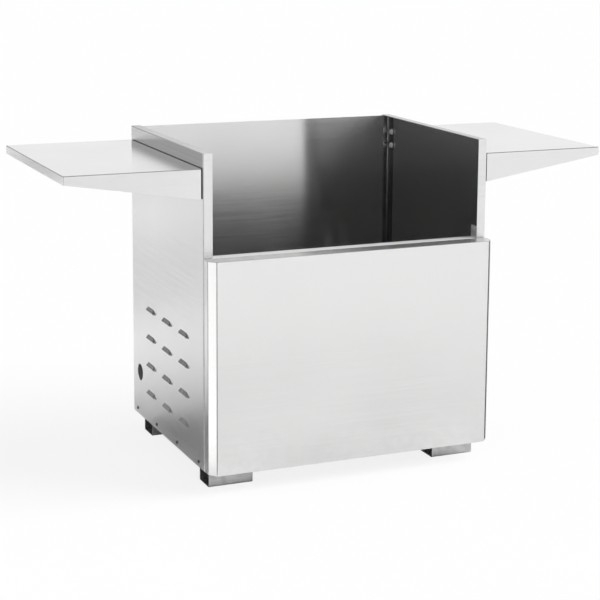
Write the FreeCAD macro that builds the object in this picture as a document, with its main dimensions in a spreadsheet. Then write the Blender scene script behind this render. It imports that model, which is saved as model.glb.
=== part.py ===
import FreeCAD, Part
import os
import Sketcher

Vector = FreeCAD.Vector
Rotation = FreeCAD.Rotation

# Grill pedestal: a folded sheet-metal cabinet, open at the top, with a hinged front door,
# two bolted side shelves and four channel feet. X is to the right, Y to the back, Z up.
# The origin is on the floor, in the middle of the pedestal's outline.

# Driving sizes in millimetres, and counts
SIZES = {
    # cabinet of folded pans
    "cabinet_width": 838,
    "cabinet_depth": 622,
    "wall_top": 910,
    "base_height": 51,
    "sheet": 1.5,
    "bend_radius": 2.5,
    "wall_flange": 26,
    "bottom_flange": 12,
    "panel_fit": 0.2,
    "rear_panel_flange": 36,
    "rear_panel_bend": 6,
    "pan_rim": 32,
    # pressed louvres and the gas-line hole of the side panels
    "louvre_length": 90,
    "louvre_crown": 50,
    "louvre_height": 13,
    "louvre_rise": 6,
    "louvre_lip": 2,
    "louvre_lip_length": 62,
    "louvre_columns": 3,
    "louvre_rows": 4,
    "louvre_pitch_along": 144,
    "louvre_pitch_up": 83,
    "louvre_from_front": 163,
    "louvre_from_base": 88,
    "gas_hole": 49,
    "gas_hole_from_rear": 66,
    "gas_hole_from_base": 133,
    # header rail over the door
    "rail_height": 40,
    "rail_depth": 28,
    "rail_plate_depth": 73,
    "rail_plate_rise": 23,
    "rail_stud": 6,
    "rail_nut_across": 10,
    "rail_nut_height": 5,
    "rail_stud_margin": 12,
    # feet
    "foot_length": 126,
    "foot_depth": 73,
    "foot_sheet": 3,
    "foot_lip": 24,
    "foot_bend": 5,
    "foot_from_side": 19,
    "foot_from_front": 15,
    "foot_from_rear": 45,
    "foot_bolt": 6,
    "foot_bolt_across": 10,
    "foot_bolt_head": 4,
    "foot_nut_height": 5,
    # side shelves
    "shelf_length": 367,
    "shelf_setback": 4.5,
    "shelf_drop": 40,
    "shelf_root": 80.5,
    "shelf_tip": 23,
    "shelf_pad_thickness": 4,
    "shelf_pad_margin": 1,
    "shelf_tray_lip": 12,
    "shelf_cleat_thickness": 3,
    "shelf_cleat_leg": 25,
    "shelf_bolt": 8,
    "shelf_bolt_across": 13,
    "shelf_bolt_head": 5.5,
    "shelf_bolt_flange": 18,
    "shelf_bolt_flange_thickness": 1.5,
    "shelf_nut_height": 6.5,
    "shelf_bolt_inset": 21,
    "shelf_nut_clear": 0.8,
    "shelf_bolt_pitch": 42,
    # screws of the folded panels
    "screw": 5,
    "screw_head": 2.4,
    "screw_head_width": 9.5,
    "screw_length": 9,
    "base_screw_count": 4,
    "base_screw_from_front": 44,
    "base_screw_from_rear": 38,
    "base_screw_rise": 16,
    "rear_screw_count": 5,
    "rear_screw_from_base": 90,
    "rear_screw_from_top": 89,
    "rear_foot_screw_count": 4,
    "rear_foot_screw_pitch": 220,
    # door
    "door_height": 579,
    "door_depth": 52,
    "door_rise": 2,
    "door_bevel_width": 17.5,
    "door_bevel_depth": 22,
    "door_flange": 24,
    "door_bend": 4.5,
    "door_edge_radius": 1.2,
    "stiffener_crown": 70,
    "stiffener_depth": 22,
    "stiffener_foot": 18,
    "stiffener_margin": 45,
    # continuous hinge and magnets
    "hinge_leaf": 1.2,
    "hinge_slack": 1,
    "hinge_leaf_width": 20,
    "hinge_margin": 14,
    "hinge_knuckle": 5,
    "hinge_knuckle_clear": 0.3,
    "hinge_knuckle_gap": 0.4,
    "hinge_knuckle_pairs": 6,
    "hinge_pin": 2.5,
    "hinge_pin_clear": 0.05,
    "magnet": 12,
    "magnet_body": 20,
    "magnet_collar": 16,
    "magnet_collar_thickness": 1,
    "magnet_nose": 9,
    "magnet_clear": 0.3,
    "magnet_from_end": 90,
    "strike": 18,
    "strike_thickness": 1,
    # clearance round screws, bolts and studs, on the radius, and thread left past a nut
    "bolt_clear": 0.3,
    "thread_clear": 0.05,
    "thread_past_nut": 2,
}

# Planes and places that follow from the sizes
PLACES = {
    "half_width": "sizes.cabinet_width / 2",
    "door_gap": "2 * sizes.hinge_leaf + sizes.hinge_slack",
    "outline_depth": "sizes.door_depth + door_gap + sizes.cabinet_depth + sizes.screw_head",
    "front": "sizes.door_depth + door_gap - outline_depth / 2",
    "rear": "front + sizes.cabinet_depth",
    "wall_inner": "half_width - sizes.sheet",
    "lap": "wall_inner - sizes.panel_fit",
    "rear_skin": "rear - sizes.sheet",
    "floor": "sizes.base_height + sizes.sheet",
    "pan_front": "front + sizes.sheet + sizes.panel_fit",
    "pan_rear": "rear_skin - sizes.sheet - sizes.panel_fit",
    "panel_base": "floor + sizes.panel_fit",
    "panel_top": "sizes.wall_top - sizes.bend_radius - sizes.panel_fit",
    "door_back": "front - door_gap",
    "door_front": "door_back - sizes.door_depth",
    "door_bevel_back": "door_front + sizes.door_bevel_depth",
    "door_bottom": "sizes.base_height + sizes.door_rise",
    "door_top": "door_bottom + sizes.door_height",
    "bevel_angle": "atan(sizes.door_bevel_width / sizes.door_bevel_depth)",
    "rail_bottom": "door_top - sizes.rail_height",
    "rail_stud_y": "pan_front + sizes.rail_plate_depth - sizes.rail_stud_margin",
    "rail_stud_low": "rail_bottom + sizes.rail_stud_margin",
    "rail_stud_high": "door_top + sizes.rail_plate_rise - sizes.rail_stud_margin",
    "louvre_z": "sizes.base_height + sizes.louvre_from_base",
    "gas_hole_y": "rear - sizes.gas_hole_from_rear",
    "gas_hole_z": "sizes.base_height + sizes.gas_hole_from_base",
    "base_screw_y": "front + sizes.base_screw_from_front",
    "base_screw_run": "rear - sizes.base_screw_from_rear - base_screw_y",
    "base_screw_pitch": "base_screw_run / (sizes.base_screw_count - 1)",
    "base_screw_z": "sizes.base_height + sizes.base_screw_rise",
    "rear_screw_x": "half_width - sizes.wall_flange / 2",
    "rear_screw_z": "sizes.base_height + sizes.rear_screw_from_base",
    "rear_screw_run": "sizes.wall_top - sizes.rear_screw_from_top - rear_screw_z",
    "rear_screw_pitch": "rear_screw_run / (sizes.rear_screw_count - 1)",
    "rear_foot_screw_x": "-1 * sizes.rear_foot_screw_pitch * (sizes.rear_foot_screw_count - 1) / 2",
    "shelf_root_x": "half_width + sizes.shelf_pad_thickness",
    "shelf_tip_x": "shelf_root_x + sizes.shelf_length",
    "shelf_z": "sizes.wall_top - sizes.shelf_drop",
    "shelf_front": "front + sizes.shelf_setback",
    "shelf_rear": "rear - sizes.shelf_setback",
    "shelf_depth": "shelf_rear - shelf_front",
    "shelf_slope": "(sizes.shelf_root - sizes.shelf_tip) / sizes.shelf_length",
    "shelf_tray_run": "sizes.shelf_length - sizes.sheet - sizes.panel_fit",
    "shelf_cleat_top": "shelf_z - sizes.sheet - sizes.panel_fit",
    "shelf_bolt_drop": "sizes.shelf_cleat_thickness + sizes.shelf_bolt_across / 2 + sizes.shelf_nut_clear",
    "shelf_bolt_high": "shelf_cleat_top - shelf_bolt_drop",
    "shelf_bolt_low": "shelf_bolt_high - sizes.shelf_bolt_pitch",
    "shelf_bolt_front": "shelf_front + sizes.shelf_bolt_inset",
    "shelf_bolt_rear": "shelf_rear - sizes.shelf_bolt_inset",
    "foot_x": "half_width - sizes.foot_from_side",
    "foot_front_y": "front + sizes.foot_from_front",
    "foot_rear_y": "rear - sizes.foot_from_rear - sizes.foot_depth",
    "foot_bolt_x": "foot_x - sizes.foot_length / 2",
    "foot_bolt_reach": "(sizes.foot_depth - sizes.foot_sheet - sizes.foot_lip) / 2",
    "hinge_x": "half_width + sizes.hinge_knuckle / 2 + sizes.hinge_knuckle_clear",
    "hinge_y": "front - door_gap / 2",
    "hinge_base": "door_bottom + sizes.hinge_margin",
    "hinge_length": "sizes.door_height - 2 * sizes.hinge_margin",
    "hinge_pitch": "hinge_length / (2 * sizes.hinge_knuckle_pairs + 1)",
    "magnet_x": "-1 * (half_width - sizes.wall_flange / 2)",
    "magnet_low": "door_bottom + sizes.magnet_from_end",
    "magnet_high": "door_top - sizes.magnet_from_end",
}

LEFT = -1
RIGHT = 1
TOLERANCE = 1e-4

doc = FreeCAD.newDocument("grill_pedestal")
nodes = []


def fill_sheet(name, rows, start):
    sheet = doc.addObject("Spreadsheet::Sheet", name)
    for row, (alias, value) in enumerate(rows.items(), 1):
        sheet.set(f"A{row}", alias)
        sheet.setAlias(f"B{row}", alias)
        sheet.set(f"B{row}", f"{start}{value}")
    doc.recompute()
    return sheet


sizes = fill_sheet("sizes", SIZES, "")
places = fill_sheet("places", PLACES, "=")
workings = doc.addObject("Spreadsheet::Sheet", "workings")


# The value of a formula written with the names in the two sheets
def number(formula):
    workings.set("A1", f"={formula}")
    workings.recompute()
    return float(workings.get("A1"))


def count(formula):
    return int(round(number(formula)))


# Sketches: each corner and radius is bound to its formula

def new_body(label):
    body = doc.addObject("PartDesign::Body", label)
    body.Label = label
    nodes.append(body)
    return body


def sketch_on(body, role, offset="0"):
    plane = next(item for item in body.Origin.OriginFeatures if item.Role == role)
    sketch = body.newObject("Sketcher::SketchObject", f"{body.Name}_sketch")
    sketch.AttachmentSupport = [(plane, "")]
    sketch.MapMode = "FlatFace"
    sketch.setExpression("AttachmentOffset.Base.z", offset)
    return sketch


# A sketch that faces the front has its normal along -Y
def front_sketch(body, y_place):
    return sketch_on(body, "XZ_Plane", f"-1 * ({y_place})")


def bind(sketch, kind, arguments, formula):
    index = sketch.addConstraint(Sketcher.Constraint(kind, *arguments, number(formula)))
    sketch.setExpression(f"Constraints[{index}]", formula)


def pin_point(sketch, geometry, point, x, y):
    bind(sketch, "DistanceX", (-1, 1, geometry, point), x)
    bind(sketch, "DistanceY", (-1, 1, geometry, point), y)


def polygon(sketch, corners):
    points = [Vector(number(x), number(y), 0) for x, y in corners]
    first = sketch.GeometryCount
    for start, end in zip(points, points[1:] + points[:1]):
        sketch.addGeometry(Part.LineSegment(start, end))
    for index, (x, y) in enumerate(corners):
        following = first + (index + 1) % len(corners)
        sketch.addConstraint(Sketcher.Constraint("Coincident", first + index, 2, following, 1))
        pin_point(sketch, first + index, 1, x, y)


def rectangle(sketch, x0, y0, x1, y1):
    polygon(sketch, [(x0, y0), (x1, y0), (x1, y1), (x0, y1)])


def circle(sketch, x, y, radius):
    centre = Vector(number(x), number(y), 0)
    index = sketch.addGeometry(Part.Circle(centre, Vector(0, 0, 1), number(radius)))
    pin_point(sketch, index, 3, x, y)
    bind(sketch, "Radius", (index,), radius)


# Outline of the first louvre, lowest and nearest the front, at the wall or at its lip
def louvre_outline(sketch, foot, crown, height):
    centre = "places.front + sizes.louvre_from_front"
    polygon(sketch, [
        (f"{centre} - {foot} / 2", "places.louvre_z"),
        (f"{centre} + {foot} / 2", "places.louvre_z"),
        (f"{centre} + {crown} / 2", f"places.louvre_z + {height}"),
        (f"{centre} - {crown} / 2", f"places.louvre_z + {height}"),
    ])


# Features

def add_feature(body, kind, sketch, reverse):
    feature = body.newObject(f"PartDesign::{kind}", f"{body.Name}_{kind.lower()}")
    feature.Profile = sketch
    feature.Reversed = reverse
    return feature


def pad(body, sketch, length, reverse=False):
    feature = add_feature(body, "Pad", sketch, reverse)
    feature.setExpression("Length", length)
    doc.recompute()
    return feature


def pocket(body, sketch, depth, reverse=False):
    before = body.Shape.Volume
    feature = add_feature(body, "Pocket", sketch, reverse)
    feature.setExpression("Length", depth)
    doc.recompute()
    if body.Shape.Volume > before - TOLERANCE:
        raise ValueError(f"{feature.Name} cuts nothing")
    return feature


def loft(body, kind, profile, section):
    feature = body.newObject(f"PartDesign::{kind}", f"{body.Name}_{kind.lower()}")
    feature.Profile = profile
    feature.Sections = [section]
    feature.Ruled = True
    doc.recompute()
    return feature


# Repeats features along one axis of a sketch, or along two
def repeat(body, originals, sketch, *runs):
    pattern = body.newObject("PartDesign::LinearPattern", f"{body.Name}_pattern")
    pattern.Originals = originals
    for suffix, (axis, length, occurrences) in zip(("", "2"), runs):
        setattr(pattern, f"Direction{suffix}", (sketch, [axis]))
        pattern.setExpression(f"Length{suffix}", length)
        pattern.setExpression(f"Occurrences{suffix}", occurrences)
    body.Tip = pattern
    doc.recompute()


# Picks the edges that lie wholly at the given x, y or z
def at(**formulas):
    wanted = {axis.upper(): number(formula) for axis, formula in formulas.items()}

    def chosen(edge):
        ends = edge.Vertexes
        return all(abs(getattr(end, axis) - wanted[axis]) < TOLERANCE for end in ends for axis in wanted)

    return chosen


def round_edges(body, radius, *choices):
    base = body.Tip
    edges = enumerate(base.Shape.Edges, 1)
    names = [f"Edge{index}" for index, edge in edges if any(chosen(edge) for chosen in choices)]
    feature = body.newObject("PartDesign::Fillet", f"{body.Name}_fillet")
    feature.Base = (base, names)
    feature.setExpression("Radius", radius)
    doc.recompute()


def drill(body, sketch, centres, radius, depth, reverse=False):
    for x, y in centres:
        circle(sketch, x, y, radius)
    pocket(body, sketch, depth, reverse)


# Fasteners: primitives along an axis, fused, and gathered in groups of separate solids

FACING = {
    "+X": Rotation(Vector(0, 1, 0), 90),
    "-X": Rotation(Vector(0, 1, 0), -90),
    "+Y": Rotation(Vector(1, 0, 0), -90),
    "-Y": Rotation(Vector(1, 0, 0), 90),
    "+Z": Rotation(),
    "-Z": Rotation(Vector(1, 0, 0), 180),
}
FLAT_SIDE_UP = Rotation(Vector(0, 0, 1), 30)
OPPOSITE = {"+X": "-X", "-X": "+X", "+Y": "-Y", "-Y": "+Y", "+Z": "-Z", "-Z": "+Z"}


def put(item, spot, rotation):
    item.Placement = FreeCAD.Placement(Vector(), rotation)
    for axis, formula in zip("xyz", spot):
        item.setExpression(f"Placement.Base.{axis}", formula)
    return item


def rod(spot, facing, radius, length):
    item = doc.addObject("Part::Cylinder", "rod")
    item.setExpression("Radius", radius)
    item.setExpression("Height", length)
    return put(item, spot, FACING[facing])


def hexagon(spot, facing, across, height):
    item = doc.addObject("Part::Prism", "hexagon")
    item.Polygon = 6
    item.setExpression("Circumradius", f"{across} / sqrt(3)")
    item.setExpression("Height", height)
    return put(item, spot, FACING[facing] * FLAT_SIDE_UP)


def fuse(*pieces):
    item = doc.addObject("Part::MultiFuse", "fastener")
    item.Shapes = list(pieces)
    return item


def cut(base, tool):
    item = doc.addObject("Part::Cut", "bored")
    item.Base = base
    item.Tool = tool
    return item


def group(label, members):
    item = doc.addObject("Part::Compound", label)
    item.Links = members
    item.Label = label
    nodes.append(item)


def pan_screw(spot, facing):
    head = rod(spot, facing, "sizes.screw_head_width / 2", "sizes.screw_head")
    shank = rod(spot, OPPOSITE[facing], "sizes.screw / 2", "sizes.screw_length")
    return fuse(head, shank)


def hex_nut(spot, facing, across, height, bolt):
    outside = hexagon(spot, facing, across, height)
    bore = rod(spot, facing, f"{bolt} / 2 + sizes.thread_clear", height)
    return cut(outside, bore)


# Where fasteners go: (y, z) on a side wall, (x, z) at the rear, (x, y) in the floor

SCREW_HOLE = "sizes.screw / 2 + sizes.bolt_clear"
SHELF_BOLT_HOLE = "sizes.shelf_bolt / 2 + sizes.bolt_clear"
STUD_HOLE = "sizes.rail_stud / 2 + sizes.bolt_clear"
FOOT_BOLT_HOLE = "sizes.foot_bolt / 2 + sizes.bolt_clear"
SHELF_BOLT_ROWS = ["places.shelf_bolt_high", "places.shelf_bolt_low"]
SHELF_BOLTS_FRONT = [("places.shelf_bolt_front", row) for row in SHELF_BOLT_ROWS]
SHELF_BOLTS_REAR = [("places.shelf_bolt_rear", row) for row in SHELF_BOLT_ROWS]
SHELF_BOLTS = SHELF_BOLTS_FRONT + SHELF_BOLTS_REAR
RAIL_STUDS = [("places.rail_stud_y", row) for row in ("places.rail_stud_low", "places.rail_stud_high")]
BASE_SCREWS = [
    (f"places.base_screw_y + {index} * places.base_screw_pitch", "places.base_screw_z")
    for index in range(count("sizes.base_screw_count"))
]
REAR_SCREW_ROWS = [
    f"places.rear_screw_z + {index} * places.rear_screw_pitch"
    for index in range(count("sizes.rear_screw_count"))
]
REAR_FOOT_SCREWS = [
    (f"places.rear_foot_screw_x + {index} * sizes.rear_foot_screw_pitch", "places.base_screw_z")
    for index in range(count("sizes.rear_foot_screw_count"))
]
MAGNETS = [("places.magnet_x", row) for row in ("places.magnet_low", "places.magnet_high")]
FOOT_ROWS = ["places.foot_front_y", "places.foot_rear_y"]


def bolts_of_foot(side, row):
    middle = f"{row} + sizes.foot_depth / 2"
    return [(f"{side} * places.foot_bolt_x", f"{middle} + {end} * places.foot_bolt_reach") for end in (-1, 1)]


FOOT_BOLTS = [bolt for side in (LEFT, RIGHT) for row in FOOT_ROWS for bolt in bolts_of_foot(side, row)]


# Folded pan with a flange on all four edges, louvres and fastener holes
def side_panel(label, side):
    body = new_body(label)
    outer = f"{side} * places.half_width"
    inner = f"{side} * (places.half_width - sizes.wall_flange)"
    rightward = side == RIGHT
    blank = sketch_on(body, "YZ_Plane", outer)
    rectangle(blank, "places.front", "sizes.base_height", "places.rear", "sizes.wall_top")
    pad(body, blank, "sizes.wall_flange", reverse=rightward)
    round_edges(body, "sizes.bend_radius", at(x=outer))
    hollow = sketch_on(body, "YZ_Plane", inner)
    rectangle(hollow, "places.front + sizes.sheet", "places.floor", "places.rear_skin",
              "sizes.wall_top - sizes.sheet")
    pocket(body, hollow, "sizes.wall_flange - sizes.sheet", reverse=rightward)
    round_edges(body, "sizes.bend_radius - sizes.sheet", at(x=f"{side} * places.wall_inner"))
    trim = sketch_on(body, "YZ_Plane", inner)
    rectangle(trim, "places.front", "sizes.base_height", "places.rear", "places.floor")
    pocket(body, trim, "sizes.wall_flange - sizes.bottom_flange", reverse=rightward)
    wall_holes = sketch_on(body, "YZ_Plane", outer)
    for y, z in BASE_SCREWS:
        circle(wall_holes, y, z, SCREW_HOLE)
    if side == LEFT:
        circle(wall_holes, "places.gas_hole_y", "places.gas_hole_z", "sizes.gas_hole / 2")
    drill(body, wall_holes, SHELF_BOLTS, SHELF_BOLT_HOLE, "sizes.sheet", reverse=not rightward)
    rear_holes = [(f"{side} * places.rear_screw_x", z) for z in REAR_SCREW_ROWS]
    drill(body, front_sketch(body, "places.rear"), rear_holes, SCREW_HOLE, "sizes.sheet", reverse=True)
    if side == LEFT:
        magnet_hole = "sizes.magnet / 2 + sizes.bolt_clear"
        drill(body, front_sketch(body, "places.front"), MAGNETS, magnet_hole, "sizes.sheet")
    press_louvres(body, side)


# Each louvre slopes out to a lip, is hipped at both ends and has its mouth downward.
# Its hollow is the same form, pressed in by the sheet's thickness
def press_louvres(body, side):
    pressed = []
    for kind, wall in (("AdditiveLoft", "places.half_width"), ("SubtractiveLoft", "places.wall_inner")):
        root = sketch_on(body, "YZ_Plane", f"{side} * {wall}")
        louvre_outline(root, "sizes.louvre_length", "sizes.louvre_crown", "sizes.louvre_height")
        lip = sketch_on(body, "YZ_Plane", f"{side} * ({wall} + sizes.louvre_rise)")
        louvre_outline(lip, "sizes.louvre_lip_length", "sizes.louvre_lip_length", "sizes.louvre_lip")
        pressed.append(loft(body, kind, root, lip))
    along = ("H_Axis", "sizes.louvre_pitch_along * (sizes.louvre_columns - 1)", "sizes.louvre_columns")
    upward = ("V_Axis", "sizes.louvre_pitch_up * (sizes.louvre_rows - 1)", "sizes.louvre_rows")
    repeat(body, pressed, root, along, upward)


# Back sheet with both upright edges turned forward along the side walls
def rear_panel():
    body = new_body("rear_panel")
    edge = "places.rear_skin - sizes.rear_panel_flange"
    inside = "places.rear_skin - sizes.sheet"
    wrap = sketch_on(body, "XY_Plane", "places.panel_base")
    polygon(wrap, [
        ("-1 * places.lap", edge),
        ("-1 * (places.lap - sizes.sheet)", edge),
        ("-1 * (places.lap - sizes.sheet)", inside),
        ("places.lap - sizes.sheet", inside),
        ("places.lap - sizes.sheet", edge),
        ("places.lap", edge),
        ("places.lap", "places.rear_skin"),
        ("-1 * places.lap", "places.rear_skin"),
    ])
    pad(body, wrap, "places.panel_top - places.panel_base")
    corners = [at(x=f"{side} * places.lap", y="places.rear_skin") for side in (LEFT, RIGHT)]
    round_edges(body, "sizes.rear_panel_bend", *corners)
    insides = [at(x=f"{side} * (places.lap - sizes.sheet)", y=inside) for side in (LEFT, RIGHT)]
    round_edges(body, "sizes.rear_panel_bend - sizes.sheet", *insides)
    notch = sketch_on(body, "YZ_Plane", "-1 * places.half_width")
    rectangle(notch, edge, "places.floor", inside, "places.floor + sizes.pan_rim + sizes.panel_fit")
    pocket(body, notch, "sizes.cabinet_width", reverse=True)
    flange_holes = sketch_on(body, "YZ_Plane", "-1 * places.half_width")
    drill(body, flange_holes, SHELF_BOLTS_REAR, SHELF_BOLT_HOLE, "sizes.cabinet_width", reverse=True)
    skin_holes = [(f"{side} * places.rear_screw_x", z) for side in (LEFT, RIGHT) for z in REAR_SCREW_ROWS]
    skin = front_sketch(body, "places.rear_skin")
    drill(body, skin, skin_holes + REAR_FOOT_SCREWS, SCREW_HOLE, "sizes.sheet", reverse=True)


# Floor tray that stands on the side panels' bottom flanges
def base_pan():
    body = new_body("base_pan")
    blank = sketch_on(body, "XY_Plane", "places.floor")
    rectangle(blank, "-1 * places.lap", "places.pan_front", "places.lap", "places.pan_rear")
    pad(body, blank, "sizes.pan_rim")
    corners = [
        at(x=f"{side} * places.lap", y=y)
        for side in (LEFT, RIGHT)
        for y in ("places.pan_front", "places.pan_rear")
    ]
    round_edges(body, "sizes.bend_radius", at(z="places.floor"), *corners)
    hollow = sketch_on(body, "XY_Plane", "places.floor + sizes.pan_rim")
    rectangle(hollow, "-1 * (places.lap - sizes.sheet)", "places.pan_front + sizes.sheet",
              "places.lap - sizes.sheet", "places.pan_rear - sizes.sheet")
    pocket(body, hollow, "sizes.pan_rim - sizes.sheet")
    rim_holes = sketch_on(body, "YZ_Plane", "-1 * places.half_width")
    drill(body, rim_holes, BASE_SCREWS, SCREW_HOLE, "sizes.cabinet_width", reverse=True)
    rear_rim = front_sketch(body, "places.pan_rear")
    drill(body, rear_rim, REAR_FOOT_SCREWS, SCREW_HOLE, "sizes.sheet", reverse=True)
    floor_holes = sketch_on(body, "XY_Plane", "places.floor + sizes.sheet")
    drill(body, floor_holes, FOOT_BOLTS, FOOT_BOLT_HOLE, "sizes.sheet")


# Channel over the door opening, with an end plate on each wall
def front_header_rail():
    body = new_body("front_header_rail")
    front = "places.pan_front"
    back = "places.pan_front + sizes.rail_depth"
    web = "places.pan_front + sizes.sheet"
    channel = sketch_on(body, "YZ_Plane", "-1 * places.lap")
    polygon(channel, [
        (front, "places.rail_bottom"),
        (back, "places.rail_bottom"),
        (back, "places.rail_bottom + sizes.sheet"),
        (web, "places.rail_bottom + sizes.sheet"),
        (web, "places.door_top - sizes.sheet"),
        (back, "places.door_top - sizes.sheet"),
        (back, "places.door_top"),
        (front, "places.door_top"),
    ])
    pad(body, channel, "2 * places.lap")
    bends = [at(y=front, z=z) for z in ("places.rail_bottom", "places.door_top")]
    round_edges(body, "sizes.bend_radius", *bends)
    for side in (LEFT, RIGHT):
        plate = sketch_on(body, "YZ_Plane", f"{side} * places.lap")
        rectangle(plate, front, "places.rail_bottom", f"{front} + sizes.rail_plate_depth",
                  "places.door_top + sizes.rail_plate_rise")
        pad(body, plate, "sizes.sheet", reverse=side == RIGHT)
    corners = [at(x=f"{side} * places.lap", y=front) for side in (LEFT, RIGHT)]
    round_edges(body, "sizes.bend_radius - sizes.sheet", *corners)
    stud_holes = sketch_on(body, "YZ_Plane", "-1 * places.half_width")
    drill(body, stud_holes, RAIL_STUDS, STUD_HOLE, "sizes.cabinet_width", reverse=True)


# Strip bent to a channel: a floor web, two legs and two lips under the base pan
def foot(label, side, row):
    body = new_body(label)
    back = f"{row} + sizes.foot_depth"
    top = "places.floor"
    strip = "sizes.foot_sheet"
    section = sketch_on(body, "YZ_Plane", f"{side} * places.foot_x")
    polygon(section, [
        (row, "0"),
        (back, "0"),
        (back, top),
        (f"{back} - sizes.foot_lip", top),
        (f"{back} - sizes.foot_lip", f"{top} - {strip}"),
        (f"{back} - {strip}", f"{top} - {strip}"),
        (f"{back} - {strip}", strip),
        (f"{row} + {strip}", strip),
        (f"{row} + {strip}", f"{top} - {strip}"),
        (f"{row} + sizes.foot_lip", f"{top} - {strip}"),
        (f"{row} + sizes.foot_lip", top),
        (row, top),
    ])
    pad(body, section, "sizes.foot_length", reverse=side == RIGHT)
    outside = [at(y=y, z=z) for y in (row, back) for z in ("0", top)]
    round_edges(body, "sizes.foot_bend", *outside)
    inside = [
        at(y=y, z=z)
        for y in (f"{row} + {strip}", f"{back} - {strip}")
        for z in (strip, f"{top} - {strip}")
    ]
    round_edges(body, "sizes.foot_bend - sizes.foot_sheet", *inside)
    lips = sketch_on(body, "XY_Plane", top)
    drill(body, lips, bolts_of_foot(side, row), FOOT_BOLT_HOLE, strip)


# Tapered shelf: a top with three skirts, a tray under it, an angle at the root and a pad on the wall
def shelf(name, side):
    root = f"{side} * places.shelf_root_x"
    tip = f"{side} * places.shelf_tip_x"
    low = "places.shelf_z - sizes.shelf_root"
    inner_front = "places.shelf_front + sizes.sheet"
    inner_depth = "places.shelf_depth - 2 * sizes.sheet"
    shelf_top(f"{name}_shelf_top", side, root, tip, low, inner_front, inner_depth)
    shelf_underside(f"{name}_shelf_underside", side, root, low, inner_front, inner_depth)
    shelf_root_angle(f"{name}_shelf_root_angle", side, low, inner_front, inner_depth)
    shelf_pad(f"{name}_shelf_pad", side, low)
    shelf_fasteners(name, side)


def shelf_top(label, side, root, tip, low, inner_front, inner_depth):
    body = new_body(label)
    tip_inside = f"{side} * (places.shelf_tip_x - sizes.sheet)"
    outline = front_sketch(body, "places.shelf_front")
    polygon(outline, [
        (root, low),
        (tip, "places.shelf_z - sizes.shelf_tip"),
        (tip, "places.shelf_z"),
        (root, "places.shelf_z"),
    ])
    pad(body, outline, "places.shelf_depth", reverse=True)
    ends = ("places.shelf_front", "places.shelf_rear")
    bends = [at(y=y, z="places.shelf_z") for y in ends]
    bends += [at(x=tip, y=y) for y in ends]
    bends.append(at(x=tip, z="places.shelf_z"))
    round_edges(body, "sizes.bend_radius", *bends)
    hollow = front_sketch(body, inner_front)
    rectangle(hollow, root, low, tip_inside, "places.shelf_z - sizes.sheet")
    pocket(body, hollow, inner_depth)


def shelf_underside(label, side, root, low, inner_front, inner_depth):
    body = new_body(label)
    end = f"{side} * (places.shelf_root_x + places.shelf_tray_run)"
    end_low = f"{low} + places.shelf_slope * places.shelf_tray_run"

    def slanted(sketch, lift, height):
        polygon(sketch, [
            (root, f"{low} + {lift}"),
            (end, f"{end_low} + {lift}"),
            (end, f"{end_low} + {lift} + {height}"),
            (root, f"{low} + {lift} + {height}"),
        ])

    blank = front_sketch(body, f"{inner_front} + sizes.panel_fit")
    slanted(blank, "0", "sizes.shelf_tray_lip")
    pad(body, blank, f"{inner_depth} - 2 * sizes.panel_fit", reverse=True)
    hollow = front_sketch(body, f"{inner_front} + sizes.panel_fit + sizes.sheet")
    slanted(hollow, "sizes.sheet", "sizes.shelf_tray_lip")
    pocket(body, hollow, f"{inner_depth} - 2 * sizes.panel_fit - 2 * sizes.sheet")


def shelf_root_angle(label, side, low, inner_front, inner_depth):
    body = new_body(label)
    fit = "sizes.panel_fit"
    face = f"{side} * places.shelf_root_x"
    plate_back = f"{side} * (places.shelf_root_x + sizes.shelf_cleat_thickness)"
    leg_end = f"{side} * (places.shelf_root_x + sizes.shelf_cleat_leg)"
    top = "places.shelf_cleat_top"
    bottom = f"{low} + sizes.sheet + {fit} + places.shelf_slope * sizes.shelf_cleat_thickness"
    section = front_sketch(body, f"{inner_front} + sizes.sheet + 2 * {fit}")
    polygon(section, [
        (face, bottom),
        (plate_back, bottom),
        (plate_back, f"{top} - sizes.shelf_cleat_thickness"),
        (leg_end, f"{top} - sizes.shelf_cleat_thickness"),
        (leg_end, top),
        (face, top),
    ])
    pad(body, section, f"{inner_depth} - 2 * sizes.sheet - 4 * {fit}", reverse=True)
    holes = sketch_on(body, "YZ_Plane", face)
    drill(body, holes, SHELF_BOLTS, SHELF_BOLT_HOLE, "sizes.shelf_cleat_thickness", reverse=side == RIGHT)


def shelf_pad(label, side, low):
    body = new_body(label)
    margin = "sizes.shelf_pad_margin"
    outline = sketch_on(body, "YZ_Plane", f"{side} * places.half_width")
    rectangle(outline, f"places.shelf_front + {margin}", f"{low} + {margin}",
              f"places.shelf_rear - {margin}", f"places.shelf_z - {margin}")
    for y, z in SHELF_BOLTS:
        circle(outline, y, z, SHELF_BOLT_HOLE)
    pad(body, outline, "sizes.shelf_pad_thickness", reverse=side == LEFT)


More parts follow.
